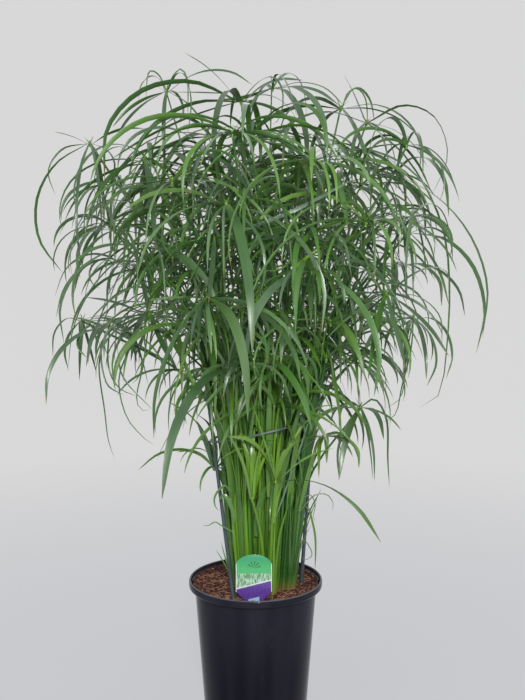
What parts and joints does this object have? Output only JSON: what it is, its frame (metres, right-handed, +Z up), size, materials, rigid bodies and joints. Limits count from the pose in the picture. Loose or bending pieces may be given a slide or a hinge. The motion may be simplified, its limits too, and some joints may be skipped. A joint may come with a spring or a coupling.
{
  "type": "potted umbrella papyrus plant",
  "caption": "Tall umbrella papyrus with arching leaf crowns on slim stems, in a round black plastic nursery pot with soil, a plant label and a stem support ring.",
  "frame": {"origin": "centre of the pot's base, on the surface that it stands on", "axes": "+Z up through the pot; -Y towards the viewer of the picture, +X to the viewer's right"},
  "size_m": [0.6958, 0.697, 1.0308],
  "materials": {
    "pot_plastic": "black injection-moulded plastic with a soft gloss",
    "soil": "damp coir and bark chips, rough and matte",
    "label_card": "printed plastic card with a satin face",
    "support_plastic": "dark grey-green moulded plastic",
    "culm": "smooth ridged green stem, paler at its foot",
    "bract": "fresh green leaf with fine parallel veins and a waxy sheen"
  },
  "bodies": {
    "root": {"pot": "pot_plastic", "soil": "soil", "plant_label": "label_card", "support_ring": "support_plastic", "stake_left": "support_plastic", "stake_right": "support_plastic", "stem_clump_1": "culm", "stem_clump_2": "culm", "stem_clump_3": "culm", "stem_clump_4": "culm", "stem_clump_5": "culm", "stem_clump_6": "culm", "stem_clump_7": "culm", "stem_clump_8": "culm", "leaf_crown_01": "bract", "leaf_crown_02": "bract", "leaf_crown_03": "bract", "leaf_crown_04": "bract", "leaf_crown_05": "bract", "leaf_crown_06": "bract", "leaf_crown_07": "bract", "leaf_crown_08": "bract", "leaf_crown_09": "bract", "leaf_crown_10": "bract", "leaf_crown_11": "bract", "leaf_crown_12": "bract", "leaf_crown_13": "bract", "leaf_crown_14": "bract", "leaf_crown_15": "bract", "leaf_crown_16": "bract", "leaf_crown_17": "bract", "leaf_crown_18": "bract", "leaf_crown_19": "bract", "leaf_crown_20": "bract", "leaf_crown_21": "bract", "leaf_crown_22": "bract", "leaf_crown_23": "bract", "leaf_crown_24": "bract", "leaf_crown_25": "bract", "leaf_crown_26": "bract", "leaf_crown_27": "bract", "leaf_crown_28": "bract", "leaf_crown_29": "bract", "leaf_crown_30": "bract", "leaf_crown_31": "bract", "leaf_crown_32": "bract", "leaf_crown_33": "bract", "leaf_crown_34": "bract", "leaf_crown_35": "bract", "leaf_crown_36": "bract", "leaf_crown_37": "bract", "leaf_crown_38": "bract", "leaf_crown_39": "bract", "leaf_crown_40": "bract", "leaf_crown_41": "bract", "leaf_crown_42": "bract", "leaf_crown_43": "bract", "leaf_crown_44": "bract", "leaf_crown_45": "bract"}
  },
  "joints": []
}
